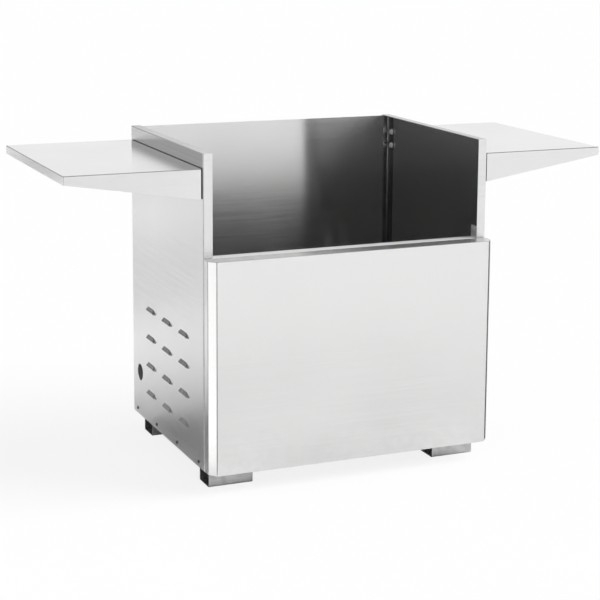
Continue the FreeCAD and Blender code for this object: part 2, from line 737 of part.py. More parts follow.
# Flanged hex bolts from inside the bay, into nuts behind the root angle
def shelf_fasteners(name, side):
    inward = "+X" if side == LEFT else "-X"
    outward = OPPOSITE[inward]
    clamped = "sizes.sheet + sizes.shelf_pad_thickness + sizes.shelf_cleat_thickness"
    bolts = []
    for bolt_places, seat in (
        (SHELF_BOLTS_FRONT, "places.wall_inner"),
        (SHELF_BOLTS_REAR, "(places.lap - sizes.sheet)"),
    ):
        reach = f"places.wall_inner - {seat} + {clamped} + sizes.shelf_nut_height + sizes.thread_past_nut"
        for y, z in bolt_places:
            spot = (f"{side} * {seat}", y, z)
            flange = rod(spot, inward, "sizes.shelf_bolt_flange / 2", "sizes.shelf_bolt_flange_thickness")
            head = hexagon(spot, inward, "sizes.shelf_bolt_across", "sizes.shelf_bolt_head")
            shank = rod(spot, outward, "sizes.shelf_bolt / 2", reach)
            bolts.append(fuse(flange, head, shank))
    group(f"{name}_shelf_bolts", bolts)
    nut_seat = f"{side} * (places.shelf_root_x + sizes.shelf_cleat_thickness)"
    nut_sizes = ("sizes.shelf_bolt_across", "sizes.shelf_nut_height", "sizes.shelf_bolt")
    nuts = [hex_nut((nut_seat, y, z), outward, *nut_sizes) for y, z in SHELF_BOLTS]
    group(f"{name}_shelf_nuts", nuts)


def cabinet_fasteners():
    for name, side, outward in (("left", LEFT, "-X"), ("right", RIGHT, "+X")):
        screws = [pan_screw((f"{side} * places.half_width", y, z), outward) for y, z in BASE_SCREWS]
        group(f"{name}_base_screws", screws)
    flange_screws = [
        pan_screw((f"{side} * places.rear_screw_x", "places.rear", z), "+Y")
        for side in (LEFT, RIGHT)
        for z in REAR_SCREW_ROWS
    ]
    foot_screws = [pan_screw((x, "places.rear_skin", z), "+Y") for x, z in REAR_FOOT_SCREWS]
    group("rear_panel_screws", flange_screws + foot_screws)
    rail_nuts = []
    for side, inward in ((LEFT, "+X"), (RIGHT, "-X")):
        for y, z in RAIL_STUDS:
            plate = (f"{side} * (places.lap - sizes.sheet)", y, z)
            wall = (f"{side} * places.wall_inner", y, z)
            nut = hexagon(plate, inward, "sizes.rail_nut_across", "sizes.rail_nut_height")
            grip = "places.wall_inner - places.lap + sizes.sheet"
            reach = f"{grip} + sizes.rail_nut_height + sizes.thread_past_nut"
            stud = rod(wall, inward, "sizes.rail_stud / 2", reach)
            rail_nuts.append(fuse(nut, stud))
    group("header_rail_nuts", rail_nuts)
    bolts = []
    nuts = []
    for x, y in FOOT_BOLTS:
        seat = (x, y, "places.floor + sizes.sheet")
        lip = (x, y, "places.floor - sizes.foot_sheet")
        head = hexagon(seat, "+Z", "sizes.foot_bolt_across", "sizes.foot_bolt_head")
        reach = "sizes.sheet + sizes.foot_sheet + sizes.foot_nut_height + sizes.thread_past_nut"
        shank = rod(seat, "-Z", "sizes.foot_bolt / 2", reach)
        bolts.append(fuse(head, shank))
        nuts.append(hex_nut(lip, "-Z", "sizes.foot_bolt_across", "sizes.foot_nut_height", "sizes.foot_bolt"))
    group("foot_bolts", bolts)
    group("foot_nuts", nuts)


# Box-formed skin: flat face, bevelled upright edges, side, top and bottom returns, rear flange
def door_skin():
    body = new_body("door_skin")
    sheet = "sizes.sheet"
    outline = sketch_on(body, "XY_Plane", "places.door_bottom")
    face_half = "(places.half_width - sizes.door_bevel_width)"
    polygon(outline, [
        ("-1 * places.half_width", "places.door_back"),
        ("-1 * places.half_width", "places.door_bevel_back"),
        (f"-1 * {face_half}", "places.door_front"),
        (face_half, "places.door_front"),
        ("places.half_width", "places.door_bevel_back"),
        ("places.half_width", "places.door_back"),
    ])
    pad(body, outline, "sizes.door_height")
    bevels = [at(x=f"{side} * places.half_width", y="places.door_bevel_back") for side in (LEFT, RIGHT)]
    bevels += [at(x=f"{side} * {face_half}", y="places.door_front") for side in (LEFT, RIGHT)]
    round_edges(body, "sizes.door_bend", *bevels)
    bends = [at(x=f"{side} * places.half_width", y="places.door_back") for side in (LEFT, RIGHT)]
    round_edges(body, "sizes.bend_radius", *bends)
    round_edges(body, "sizes.door_edge_radius", at(z="places.door_bottom"), at(z="places.door_top"))
    hollow = sketch_on(body, "XY_Plane", f"places.door_bottom + {sheet}")
    inner_half = f"(places.half_width - {sheet})"
    inner_corner = f"places.door_bevel_back + {sheet} * tan(places.bevel_angle / 2)"
    inner_face = f"({face_half} - {sheet} * tan(45 deg - places.bevel_angle / 2))"
    polygon(hollow, [
        (f"-1 * {inner_half}", f"places.door_back - {sheet}"),
        (f"-1 * {inner_half}", inner_corner),
        (f"-1 * {inner_face}", f"places.door_front + {sheet}"),
        (inner_face, f"places.door_front + {sheet}"),
        (inner_half, inner_corner),
        (inner_half, f"places.door_back - {sheet}"),
    ])
    pocket(body, hollow, f"sizes.door_height - 2 * {sheet}", reverse=True)
    opening = front_sketch(body, "places.door_back")
    opening_half = "(places.half_width - sizes.door_flange)"
    rectangle(opening, f"-1 * {opening_half}", "places.door_bottom + sizes.door_flange",
              opening_half, "places.door_top - sizes.door_flange")
    pocket(body, opening, sheet, reverse=True)


# Hat section down the middle of the door, welded behind its face
def door_stiffener():
    body = new_body("door_stiffener")
    base = "places.door_front + sizes.sheet"
    crown = f"{base} + sizes.stiffener_depth"
    outer = "sizes.stiffener_crown / 2"
    inner = f"({outer} - sizes.sheet)"
    foot_end = f"({outer} + sizes.stiffener_foot)"
    hat = sketch_on(body, "XY_Plane", "places.door_bottom + sizes.stiffener_margin")
    polygon(hat, [
        (f"-1 * {foot_end}", base),
        (f"-1 * {inner}", base),
        (f"-1 * {inner}", f"{crown} - sizes.sheet"),
        (inner, f"{crown} - sizes.sheet"),
        (inner, base),
        (foot_end, base),
        (foot_end, f"{base} + sizes.sheet"),
        (outer, f"{base} + sizes.sheet"),
        (outer, crown),
        (f"-1 * {outer}", crown),
        (f"-1 * {outer}", f"{base} + sizes.sheet"),
        (f"-1 * {foot_end}", f"{base} + sizes.sheet"),
    ])
    pad(body, hat, "sizes.door_height - 2 * sizes.stiffener_margin")


# One leaf of the continuous hinge: a strip with every other knuckle
def hinge_leaf(label, face, reach, first, knuckles):
    body = new_body(label)
    edge = "(places.half_width - sizes.hinge_knuckle_clear)"
    strip = sketch_on(body, "XY_Plane", "places.hinge_base")
    rectangle(strip, "places.half_width - sizes.hinge_leaf_width", face, edge, f"{face} + {reach}")
    pad(body, strip, "places.hinge_length")
    start = f"places.hinge_base + {first} * places.hinge_pitch + sizes.hinge_knuckle_gap / 2"
    length = "places.hinge_pitch - sizes.hinge_knuckle_gap"
    tab_sketch = sketch_on(body, "XY_Plane", start)
    rectangle(tab_sketch, f"{edge} - sizes.hinge_leaf", face, "places.hinge_x", f"{face} + {reach}")
    tab = pad(body, tab_sketch, length)
    barrel_sketch = sketch_on(body, "XY_Plane", start)
    circle(barrel_sketch, "places.hinge_x", "places.hinge_y", "sizes.hinge_knuckle / 2")
    barrel = pad(body, barrel_sketch, length)
    span = f"2 * places.hinge_pitch * ({knuckles} - 1)"
    repeat(body, [tab, barrel], barrel_sketch, ("N_Axis", span, knuckles))
    bore = sketch_on(body, "XY_Plane", "places.hinge_base")
    axis = [("places.hinge_x", "places.hinge_y")]
    bore_radius = "sizes.hinge_pin / 2 + sizes.hinge_pin_clear"
    drill(body, bore, axis, bore_radius, "places.hinge_length", reverse=True)


def hinge():
    forward = "-1 * sizes.hinge_leaf"
    backward = "sizes.hinge_leaf"
    hinge_leaf("hinge_cabinet_leaf", "places.front", forward, 0, "(sizes.hinge_knuckle_pairs + 1)")
    hinge_leaf("hinge_door_leaf", "places.door_back", backward, 1, "sizes.hinge_knuckle_pairs")
    spot = ("places.hinge_x", "places.hinge_y", "places.hinge_base")
    pin = rod(spot, "+Z", "sizes.hinge_pin / 2", "places.hinge_length")
    pin.Label = "hinge_pin"
    nodes.append(pin)


# Push-in magnets in the left flange, and the strikes that they hold on the door
def door_catch():
    magnets = []
    strikes = []
    nose_length = "places.door_gap - sizes.strike_thickness - sizes.magnet_clear"
    for x, z in MAGNETS:
        seat = (x, "places.front", z)
        collar = rod(seat, "-Y", "sizes.magnet_collar / 2", "sizes.magnet_collar_thickness")
        nose = rod(seat, "-Y", "sizes.magnet_nose / 2", nose_length)
        barrel = rod(seat, "+Y", "sizes.magnet / 2", "sizes.magnet_body")
        magnets.append(fuse(collar, nose, barrel))
        strike = doc.addObject("Part::Box", "strike")
        strike.setExpression("Length", "sizes.strike")
        strike.setExpression("Width", "sizes.strike_thickness")
        strike.setExpression("Height", "sizes.strike")
        corner = (f"{x} - sizes.strike / 2", "places.door_back", f"{z} - sizes.strike / 2")
        strikes.append(put(strike, corner, FACING["+Z"]))
    group("door_magnets", magnets)
    group("door_strikes", strikes)


def build():
    side_panel("left_side_panel", LEFT)
    side_panel("right_side_panel", RIGHT)
    rear_panel()
    base_pan()
    front_header_rail()
    for row_name, row in zip(("front", "rear"), FOOT_ROWS):
        foot(f"{row_name}_left_foot", LEFT, row)
        foot(f"{row_name}_right_foot", RIGHT, row)
    cabinet_fasteners()
    shelf("left", LEFT)
    shelf("right", RIGHT)
    door_skin()
    door_stiffener()
    hinge()
    door_catch()
    doc.removeObject(workings.Name)
    doc.recompute()


# Stops before anything is written if a feature failed or a shape isn't sound
def check():
    for item in doc.Objects:
        if "Invalid" in item.State or "Error" in item.State:
            raise ValueError(f"{item.Label} failed: {item.State}")
    for node in nodes:
        if node.Shape.isNull() or not node.Shape.isValid():
            raise ValueError(f"{node.Label} has no sound shape")


def write():
    os.makedirs("parts", exist_ok=True)
    for node in nodes:
        node.Shape.exportStep(f"parts/{node.Label}.step")
        print(node.Label, len(node.Shape.Solids), round(node.Shape.Volume))


build()
check()
write()
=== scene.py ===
import bpy
import math
from mathutils import Matrix, Vector


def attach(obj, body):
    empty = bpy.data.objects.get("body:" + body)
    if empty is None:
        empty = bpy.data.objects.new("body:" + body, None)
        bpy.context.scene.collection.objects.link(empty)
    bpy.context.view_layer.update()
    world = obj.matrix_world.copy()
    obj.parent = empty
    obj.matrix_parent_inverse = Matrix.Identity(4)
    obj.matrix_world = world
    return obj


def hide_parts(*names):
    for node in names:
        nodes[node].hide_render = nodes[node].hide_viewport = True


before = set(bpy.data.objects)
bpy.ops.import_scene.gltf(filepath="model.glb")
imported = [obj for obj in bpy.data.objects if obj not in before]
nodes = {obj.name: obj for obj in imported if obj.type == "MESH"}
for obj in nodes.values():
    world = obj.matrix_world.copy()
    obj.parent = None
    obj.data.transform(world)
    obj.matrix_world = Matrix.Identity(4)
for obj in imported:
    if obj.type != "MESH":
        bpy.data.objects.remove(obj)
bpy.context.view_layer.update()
scene = bpy.context.scene
scene.view_settings.view_transform = "Standard"
print("frame loaded:", len(nodes), "nodes")

millimetre = 0.001
quarterTurn = math.pi / 2
floatKind, colorKind = "NodeSocketFloat", "NodeSocketColor"


# node helpers

def plug(tree, socket, value):
    if isinstance(value, bpy.types.NodeSocket):
        tree.links.new(value, socket)
    else:
        socket.default_value = value


def addNode(tree, kind, inputs=None, **settings):
    node = tree.nodes.new(kind)
    for name, value in settings.items():
        setattr(node, name, value)
    for name, value in (inputs or {}).items():
        plug(tree, node.inputs[name], value)
    return node


def calc(tree, operation, *values):
    node = addNode(tree, "ShaderNodeMath", operation=operation)
    for socket, value in zip(node.inputs, values):
        plug(tree, socket, value)
    return node.outputs[0]


def fade(tree, value, fromLow, fromHigh, toLow=0.0, toHigh=1.0):
    node = addNode(tree, "ShaderNodeMapRange", interpolation_type="SMOOTHSTEP")
    for socket, part in zip(node.inputs, (value, fromLow, fromHigh, toLow, toHigh)):
        plug(tree, socket, part)
    return node.outputs[0]


def noise(tree, vector, scale, detail, flat=False):
    node = addNode(tree, "ShaderNodeTexNoise", {"Vector": vector, "Scale": scale, "Detail": detail},
                   noise_dimensions="2D" if flat else "3D")
    return node.outputs[0]


def centred(tree, value):
    return calc(tree, "SUBTRACT", value, 0.5)


def splitVector(tree, vector):
    return addNode(tree, "ShaderNodeSeparateXYZ", {0: vector}).outputs


def joinVector(tree, x=0.0, y=0.0, z=0.0):
    return addNode(tree, "ShaderNodeCombineXYZ", {0: x, 1: y, 2: z}).outputs[0]


def grayFrom(tree, level):
    return addNode(tree, "ShaderNodeCombineColor", {0: level, 1: level, 2: level}).outputs[0]


def objectPlace(tree):
    return addNode(tree, "ShaderNodeTexCoord").outputs["Object"]


def mixColors(tree, blend, factor, colorA, colorB):
    node = addNode(tree, "ShaderNodeMix", data_type="RGBA", blend_type=blend)
    for socket, value in zip((node.inputs[0], node.inputs[6], node.inputs[7]), (factor, colorA, colorB)):
        plug(tree, socket, value)
    return node.outputs[2]


def gray(level):
    return (level, level, level, 1.0)


def steelTint(level, warmth=0.003):
    return (level * (1 + warmth), level, level * (1 - warmth), 1.0)


def newGroup(name, inputs, outputs):
    tree = bpy.data.node_groups.new(name, "ShaderNodeTree")
    for label, kind in inputs.items():
        tree.interface.new_socket(label, in_out="INPUT", socket_type=kind)
    for label, kind in outputs.items():
        tree.interface.new_socket(label, in_out="OUTPUT", socket_type=kind)
    return tree, tree.nodes.new("NodeGroupInput").outputs, tree.nodes.new("NodeGroupOutput").inputs


def useGroup(tree, group, **inputs):
    return addNode(tree, "ShaderNodeGroup", inputs, node_tree=group).outputs


def newMaterial(name):
    material = bpy.data.materials.new(name)
    material.use_nodes = True
    return material, material.node_tree, material.node_tree.nodes["Principled BSDF"]


# faces that lie rather than stand

def lyingMask(tree, normal, leastRise=0.7):
    return calc(tree, "GREATER_THAN", calc(tree, "ABSOLUTE", splitVector(tree, normal)[2]), leastRise)


# brushed grain: level on upright sheet, from side to side on lying sheet

grainForm = {
    "fineShare": 0.7, "broadWidth": 7.0, "broadLength": 3.0, "streakDetail": 2.0,
    "smearScale": 5.0, "smearDetail": 3.0, "buckleScale": 3.2, "buckleDetail": 0.0,
}


def makeBrushedGrain():
    tree, given, made = newGroup(
        "brushedGrain",
        {"Base": colorKind, "Tone": floatKind, "Roughness": floatKind, "Spread": floatKind,
         "Width": floatKind, "Length": floatKind, "Groove": floatKind, "Wave": floatKind},
        {"Color": colorKind, "Roughness": floatKind, "Height": floatKind})
    place = addNode(tree, "ShaderNodeTexCoord").outputs
    spot = splitVector(tree, place["Object"])
    lying = lyingMask(tree, place["Normal"])
    upright = calc(tree, "SUBTRACT", 1.0, lying)
    along = calc(tree, "MULTIPLY_ADD", spot[1], upright, spot[0])
    across = calc(tree, "MULTIPLY_ADD", spot[1], lying, calc(tree, "MULTIPLY", spot[2], upright))

    def streaks(widthShare, lengthShare):
        run = calc(tree, "DIVIDE", along, calc(tree, "MULTIPLY", given["Length"], lengthShare))
        step = calc(tree, "DIVIDE", across, calc(tree, "MULTIPLY", given["Width"], widthShare))
        grid = joinVector(tree, run, step)
        return centred(tree, noise(tree, grid, 1.0, grainForm["streakDetail"], flat=True))

    fine = streaks(1.0, 1.0)
    broad = streaks(grainForm["broadWidth"], grainForm["broadLength"])
    smears = centred(tree, noise(tree, place["Object"], grainForm["smearScale"], grainForm["smearDetail"]))
    buckle = noise(tree, place["Object"], grainForm["buckleScale"], grainForm["buckleDetail"])
    grain = calc(tree, "MULTIPLY_ADD", fine, grainForm["fineShare"], broad)
    toned = grayFrom(tree, calc(tree, "MULTIPLY_ADD", grain, given["Tone"], 1.0))
    uneven = calc(tree, "ADD", grain, smears)
    groove = calc(tree, "MULTIPLY", grain, given["Groove"])
    plug(tree, made["Color"], mixColors(tree, "MULTIPLY", 1.0, given["Base"], toned))
    plug(tree, made["Roughness"], calc(tree, "MULTIPLY_ADD", uneven, given["Spread"], given["Roughness"]))
    plug(tree, made["Height"], calc(tree, "MULTIPLY_ADD", buckle, given["Wave"], groove))
    return tree


# darker, rougher patches, stronger towards the floor

lowDarkeningForm = {"patchScale": 38.0, "patchDetail": 6.0, "patchFrom": 0.35, "patchTo": 0.7, "roughening": 0.5}


def makeLowDarkening():
    tree, given, made = newGroup("lowDarkening", {"Reach": floatKind, "Amount": floatKind}, {"Mask": floatKind})
    place = objectPlace(tree)
    low = fade(tree, splitVector(tree, place)[2], 0.0, given["Reach"], 1.0, 0.0)
    mottle = noise(tree, place, lowDarkeningForm["patchScale"], lowDarkeningForm["patchDetail"])
    patches = fade(tree, mottle, lowDarkeningForm["patchFrom"], lowDarkeningForm["patchTo"])
    lowPatches = calc(tree, "MULTIPLY", low, patches)
    plug(tree, made["Mask"], calc(tree, "MULTIPLY", lowPatches, given["Amount"]))
    return tree


# painted shade on the sloping faces of pressed louvres, broken into draw marks, within the field that holds
# them

louvreShadeForm = {
    "slopeFrom": 0.9, "slopeTo": 0.98, "marksUpward": 20.0, "detail": 2.0,
    "markFrom": 0.35, "markTo": 0.65, "faint": 0.6, "strong": 1.0,
}


def makeLouvreShadeMarks():
    tree, given, made = newGroup(
        "louvreShadeMarks", {"Low": floatKind, "High": floatKind, "Reach": floatKind, "Pitch": floatKind},
        {"Mask": floatKind})
    place = addNode(tree, "ShaderNodeTexCoord").outputs
    spot = splitVector(tree, place["Object"])
    outward = calc(tree, "ABSOLUTE", splitVector(tree, place["Normal"])[0])
    sloping = fade(tree, outward, louvreShadeForm["slopeFrom"], louvreShadeForm["slopeTo"], 1.0, 0.0)
    inField = calc(tree, "MULTIPLY", calc(tree, "GREATER_THAN", spot[2], given["Low"]),
                   calc(tree, "LESS_THAN", spot[2], given["High"]))
    inReach = calc(tree, "LESS_THAN", calc(tree, "ABSOLUTE", spot[1]), given["Reach"])
    inField = calc(tree, "MULTIPLY", inField, inReach)
    grid = joinVector(tree, calc(tree, "DIVIDE", spot[1], given["Pitch"]),
                      calc(tree, "MULTIPLY", spot[2], louvreShadeForm["marksUpward"]))
    marks = fade(tree, noise(tree, grid, 1.0, louvreShadeForm["detail"], flat=True),
                 *[louvreShadeForm[key] for key in ("markFrom", "markTo", "faint", "strong")])
    plug(tree, made["Mask"], calc(tree, "MULTIPLY", calc(tree, "MULTIPLY", sloping, inField), marks))
    return tree


# painted shade on faces that are turned in, towards the middle of the cabinet

def makeTurnedEdgeShade():
    tree, given, made = newGroup("turnedEdgeShade", {"From": floatKind, "To": floatKind}, {"Mask": floatKind})
    place = addNode(tree, "ShaderNodeTexCoord").outputs
    side = calc(tree, "SIGN", splitVector(tree, place["Object"])[0])
    facing = splitVector(tree, place["Normal"])[0]
    inward = calc(tree, "MULTIPLY", side, calc(tree, "MULTIPLY", facing, -1.0))
    plug(tree, made["Mask"], fade(tree, inward, given["From"], given["To"]))
    return tree


brushedGrain = makeBrushedGrain()
lowDarkening = makeLowDarkening()
louvreShadeMarks = makeLouvreShadeMarks()
turnedEdgeShade = makeTurnedEdgeShade()


def brushedSteel(name, look):
    material, tree, shader = newMaterial(name)
    grain = useGroup(tree, brushedGrain, Base=steelTint(look["base"]), Tone=look["tone"],
                     Roughness=look["roughness"], Spread=look["spread"], Width=look["grainWidth"],
                     Length=look["grainLength"], Groove=look["groove"], Wave=look["wave"])
    # darker, rougher patches towards the floor
    lowDark = useGroup(tree, lowDarkening, Reach=look["lowDarkReach"], Amount=look["lowDark"])["Mask"]
    color = grain["Color"]
    # painted shade: the louvre slopes darkened in draw marks
    if "louvreShade" in look:
        louvreShade = look["louvreShade"]
        pressed = useGroup(tree, louvreShadeMarks, Low=louvreShade["low"], High=louvreShade["high"], Reach=louvreShade["reach"],
                           Pitch=louvreShade["pitch"])["Mask"]
        color = mixColors(tree, "MULTIPLY", pressed, color, gray(louvreShade["tone"]))
    # painted shade on faces turned in towards the middle of the cabinet
    if "edge" in look:
        edge = look["edge"]
        turned = useGroup(tree, turnedEdgeShade, From=edge["from"], To=edge["to"])["Mask"]
        color = mixColors(tree, "MULTIPLY", turned, color, gray(edge["tone"]))
    dulled = mixColors(tree, "MIX", lowDark, color, gray(look["lowDarkTone"]))
    rough = calc(tree, "MULTIPLY_ADD", lowDark, lowDarkeningForm["roughening"], grain["Roughness"])
    bump = addNode(tree, "ShaderNodeBump",
                   {"Height": grain["Height"], "Strength": 1.0, "Distance": millimetre})
    # the highlight stretches across the grain
    lying = lyingMask(tree, addNode(tree, "ShaderNodeNewGeometry").outputs["Normal"])
    stretch = joinVector(tree, y=lying, z=calc(tree, "SUBTRACT", 1.0, lying))
    plug(tree, shader.inputs["Base Color"], dulled)
    plug(tree, shader.inputs["Roughness"], rough)
    plug(tree, shader.inputs["Normal"], bump.outputs[0])
    plug(tree, shader.inputs["Tangent"], stretch)
    shader.inputs["Metallic"].default_value = look["metal"]
    shader.inputs["Anisotropic"].default_value = look["stretch"]
    return material


def dress(material, *names):
    for name in names:
        for slot in nodes[name].material_slots:
            slot.material = material


# cabinet sheet: louvred sides with painted shade on the louvre slopes and turned-in faces, rear panel with
# painted shade on its turned edges, dull base pan

panelLook = {
    "base": 0.82, "metal": 1.0, "tone": 0.13, "roughness": 0.19, "spread": 0.05, "stretch": 1.0,
    "grainWidth": 0.0009, "grainLength": 0.11, "groove": 0.0003, "wave": 0.15,
    "lowDark": 0.05, "lowDarkReach": 0.3, "lowDarkTone": 0.45,
}
sideLook = {
    **panelLook,
    # painted shade on the louvre slopes
    "louvreShade": {"low": 0.1, "high": 0.42, "reach": 0.24, "pitch": 0.004, "tone": 0.36},
    # painted shade on the side panels' turned-in faces
    "edge": {"from": 0.5, "to": 0.9, "tone": 0.75},
}
# rear panel: painted shade on its turned edges
rearLook = {**panelLook, "edge": {"from": 0.05, "to": 0.35, "tone": 0.25}}
baseLook = {**panelLook, "base": 0.4, "roughness": 0.3}
dress(brushedSteel("sideSteel", sideLook), "left_side_panel", "right_side_panel")
dress(brushedSteel("rearSteel", rearLook), "rear_panel")
dress(brushedSteel("baseSteel", baseLook), "base_pan")
print("cabinet panels dressed")

# header rail, zinc coated strip with a dull bloom

railLook = {
    "base": 0.84, "metal": 0.25, "tone": 0.06, "roughness": 0.4, "spread": 0.08, "stretch": 0.3,
    "grainWidth": 0.0015, "grainLength": 0.02, "groove": 0.001, "wave": 0.1,
    "lowDark": 0.0, "lowDarkReach": 0.1, "lowDarkTone": 0.5,
}
dress(brushedSteel("railSteel", railLook), "front_header_rail")
print("header rail dressed")

# shelves, brushed finer

shelfLook = {
    "base": 0.82, "metal": 1.0, "tone": 0.07, "roughness": 0.16, "spread": 0.04, "stretch": 0.7,
    "grainWidth": 0.0008, "grainLength": 0.14, "groove": 0.0003, "wave": 0.1,
    "lowDark": 0.0, "lowDarkReach": 0.1, "lowDarkTone": 0.5,
}
shelfSteel = brushedSteel("shelfSteel", shelfLook)
for side in ("left", "right"):
    dress(shelfSteel, f"{side}_shelf_top", f"{side}_shelf_underside", f"{side}_shelf_root_angle")
print("shelves dressed")

# door, the smoothest sheet

doorLook = {
    "base": 0.84, "metal": 0.88, "tone": 0.05, "roughness": 0.2, "spread": 0.03, "stretch": 0.8,
    "grainWidth": 0.0008, "grainLength": 0.16, "groove": 0.0003, "wave": 0.12,
    "lowDark": 0.1, "lowDarkReach": 0.25, "lowDarkTone": 0.5,
}
dress(brushedSteel("doorSteel", doorLook), "door_skin", "door_stiffener")
print("door dressed")

# feet, thicker strip with scuffs

footLook = {
    "base": 0.6, "metal": 1.0, "tone": 0.3, "roughness": 0.33, "spread": 0.12, "stretch": 0.5,
    "grainWidth": 0.0012, "grainLength": 0.06, "groove": 0.003, "wave": 0.1,
    "lowDark": 0.45, "lowDarkReach": 0.09, "lowDarkTone": 0.35,
}
footSteel = brushedSteel("footSteel", footLook)
dress(footSteel, *[f"{row}_{side}_foot" for row in ("front", "rear") for side in ("left", "right")])
print("feet dressed")

# fasteners and hinge, turned and plated, with shelf bolts in bright zinc

fastenerLook = {
    "base": 0.74, "metal": 0.7, "tone": 0.14, "roughness": 0.3, "spread": 0.14, "stretch": 0.2,
    "grainWidth": 0.0004, "grainLength": 0.004, "groove": 0.004, "wave": 0.0,
    "lowDark": 0.2, "lowDarkReach": 0.1, "lowDarkTone": 0.3,
}
zincLook = {**fastenerLook, "base": 0.92, "metal": 0.2, "tone": 0.08}
fastenerSteel = brushedSteel("fastenerSteel", fastenerLook)
for name in nodes:
    if name.endswith(("_screws", "_bolts", "_nuts", "_strikes")) or name.startswith("hinge_"):
        dress(fastenerSteel, name)
dress(brushedSteel("zincSteel", zincLook), "left_shelf_bolts", "right_shelf_bolts")

# darkened screws with domed heads and cross recesses, at the places of the plain ones in the frame

screwLook = {**fastenerLook, "base": 0.1, "metal": 1.0}
screwForm = {
    "head": 0.0024, "rim": 0.0008, "domeSteps": 5, "domeEnd": 0.66,
    "armLength": 0.0027, "armWidth": 0.0013, "recess": 0.0016, "recessTaper": 0.7,
    "shank": 0.0025, "thread": 0.0003, "threadSteps": 12, "length": 0.009,
    "apart": 0.02, "crease": 35.0,
}


# seat and head radius of each screw in a node, whose vertices are sorted by the screw they belong to

def screwSpots(name, outward):
    clusters = []
    for vertex in nodes[name].data.vertices:
        point = nodes[name].matrix_world @ vertex.co
        for cluster in clusters:
            if (point - cluster[0]).cross(outward).length < screwForm["apart"]:
                cluster.append(point)
                break
        else:
            clusters.append([point])
    spots = []
    for cluster in clusters:
        low = Vector([min(point[axis] for point in cluster) for axis in range(3)])
        high = Vector([max(point[axis] for point in cluster) for axis in range(3)])
        middle, half = (low + high) / 2, (high - low) / 2
        seat = middle + outward * (abs(half.dot(outward)) - screwForm["head"])
        spots.append((seat, half.z))
    return spots


def crossReach(angle):
    fromArm = abs((angle + quarterTurn / 2) % quarterTurn - quarterTurn / 2)
    tip = screwForm["armLength"] / math.cos(fromArm)
    armSide = screwForm["armWidth"] / 2
    return tip if tip * math.sin(fromArm) <= armSide else armSide / math.sin(fromArm)


# rings of points from the screw's end, up its thread and over its dome, down into the cross

def screwRings(radius):
    form = screwForm
    armEdge = math.atan(form["armWidth"] / 2 / form["armLength"])
    corner, nextEdge = quarterTurn / 2, quarterTurn - armEdge
    steps = [-armEdge, 0.0, armEdge, (armEdge + corner) / 2, corner, (corner + nextEdge) / 2]
    angles = [turn * quarterTurn + step for turn in range(4) for step in steps]
    cross = [crossReach(angle) for angle in angles]

    def ring(height, reaches):
        return [(reach * math.cos(angle), reach * math.sin(angle), height)
                for angle, reach in zip(angles, reaches)]

    def roundRing(height, distance):
        return ring(height, [distance] * len(angles))

    def dome(distance):
        return form["rim"] + (form["head"] - form["rim"]) * math.sqrt(1 - (distance / radius) ** 2)

    rings = []
    for step in range(form["threadSteps"] + 1):
        depth = form["length"] * (1 - step / form["threadSteps"])
        rings.append(roundRing(-depth, form["shank"] - form["thread"] * (step % 2)))
    rings.append(roundRing(0.0, radius))
    for step in range(form["domeSteps"] + 1):
        distance = radius * (1 - (1 - form["domeEnd"]) * step / form["domeSteps"])
        rings.append(roundRing(dome(distance), distance))
    rings.append([(x, y, dome(math.hypot(x, y))) for x, y, level in ring(0.0, cross)])
    rings.append(ring(form["head"] - form["recess"], [reach * form["recessTaper"] for reach in cross]))
    return rings


def makeScrews(name, outward, material):
    turn = outward.to_track_quat("Z", "Y").to_matrix()
    points, faces = [], []
    for seat, radius in screwSpots(name, outward):
        rings = screwRings(radius)
        first, size = len(points), len(rings[0])
        last = first + (len(rings) - 1) * size
        points += [seat + turn @ Vector(point) for ring in rings for point in ring]
        for low in range(first, last, size):
            high = low + size
            for index in range(size):
                after = (index + 1) % size
                faces.append((low + index, low + after, high + after, high + index))
        faces.append([first + index for index in reversed(range(size))])
        faces.append([last + index for index in range(size)])
    mesh = bpy.data.meshes.new(name + "Crossed")
    mesh.from_pydata(points, [], faces)
    for polygon in mesh.polygons:
        polygon.use_smooth = True
    mesh.set_sharp_from_angle(angle=math.radians(screwForm["crease"]))
    mesh.materials.append(material)
    screws = bpy.data.objects.new(name + "Crossed", mesh)
    scene.collection.objects.link(screws)
    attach(screws, "cabinet")
    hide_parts(name)


screwSteel = brushedSteel("screwSteel", screwLook)
makeScrews("left_base_screws", Vector((-1, 0, 0)), screwSteel)
makeScrews("right_base_screws", Vector((1, 0, 0)), screwSteel)
makeScrews("rear_panel_screws", Vector((0, 1, 0)), screwSteel)
print("fasteners and hinge dressed")

# rubber shelf pads and plastic magnet cups

mouldForm = {"mottleDetail": 4.0, "pebbleDetail": 2.0, "roughFrom": 0.3, "roughTo": 0.7}


def mouldedMaterial(name, look):
    material, tree, shader = newMaterial(name)
    place = objectPlace(tree)
    mottle = noise(tree, place, look["mottleScale"], mouldForm["mottleDetail"])
    pebbles = noise(tree, place, look["pebbleScale"], mouldForm["pebbleDetail"])
    color = mixColors(tree, "MIX", mottle, gray(look["dark"]), gray(look["pale"]))
    rough = fade(tree, mottle, mouldForm["roughFrom"], mouldForm["roughTo"], look["smooth"], look["rough"])
    bump = addNode(tree, "ShaderNodeBump",
                   {"Height": pebbles, "Strength": look["pebble"], "Distance": millimetre})
    plug(tree, shader.inputs["Base Color"], color)
    plug(tree, shader.inputs["Roughness"], rough)
    plug(tree, shader.inputs["Normal"], bump.outputs[0])
    return material


